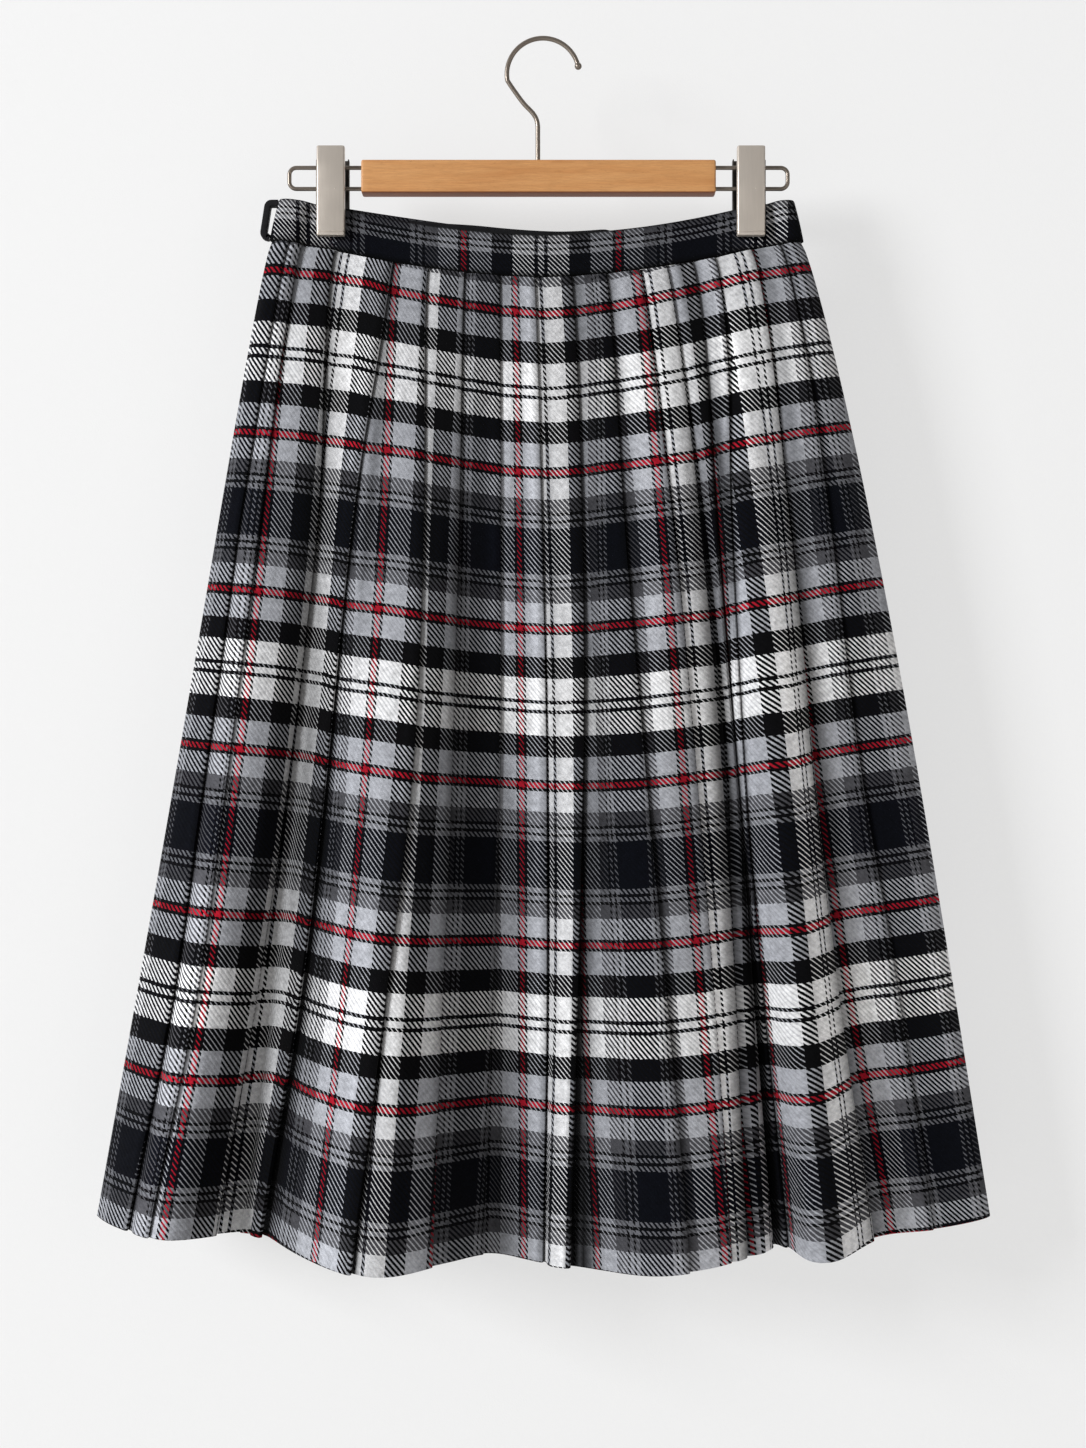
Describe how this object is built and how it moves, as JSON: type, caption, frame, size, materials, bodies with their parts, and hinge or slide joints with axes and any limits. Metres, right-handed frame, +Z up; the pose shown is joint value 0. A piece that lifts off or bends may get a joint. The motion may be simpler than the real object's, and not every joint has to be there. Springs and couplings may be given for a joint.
{
  "type": "pleated tartan kilt skirt on a clip hanger",
  "caption": "Pleated tartan kilt skirt with a plain waistband, hung flat by spring clips from a wooden bar hanger with wire ends and a round hook.",
  "frame": {"origin": "inside top of the hook's crook, in the hanger's middle plane, where a rail or a nail holds the hanger", "axes": "+Z up; the front of the skirt faces -Y; +X is to the right as one faces the front"},
  "size_m": [0.6434, 0.1424, 0.8713],
  "materials": {
    "tartan_wool": "brushed wool twill woven in a black, white, grey and red tartan",
    "black_trim": "black woven tape",
    "beech": "satin lacquered beech with a fine level grain",
    "wire_steel": "drawn steel wire",
    "dark_steel": "dark plated steel",
    "satin_nickel": "satin nickel plated sheet"
  },
  "bodies": {
    "root": {"skirt_front": "tartan_wool", "skirt_back": "tartan_wool", "waistband_front": "tartan_wool", "waistband_back": "tartan_wool", "back_facing": "black_trim", "strap_loop": "black_trim", "hanger_bar": "beech", "hook": "dark_steel", "wire_loop_left": "wire_steel", "wire_loop_right": "wire_steel", "clip_left_front": "satin_nickel", "clip_left_rear": "dark_steel", "clip_left_saddle": "dark_steel", "clip_right_front": "satin_nickel", "clip_right_rear": "dark_steel", "clip_right_saddle": "dark_steel"}
  },
  "joints": []
}
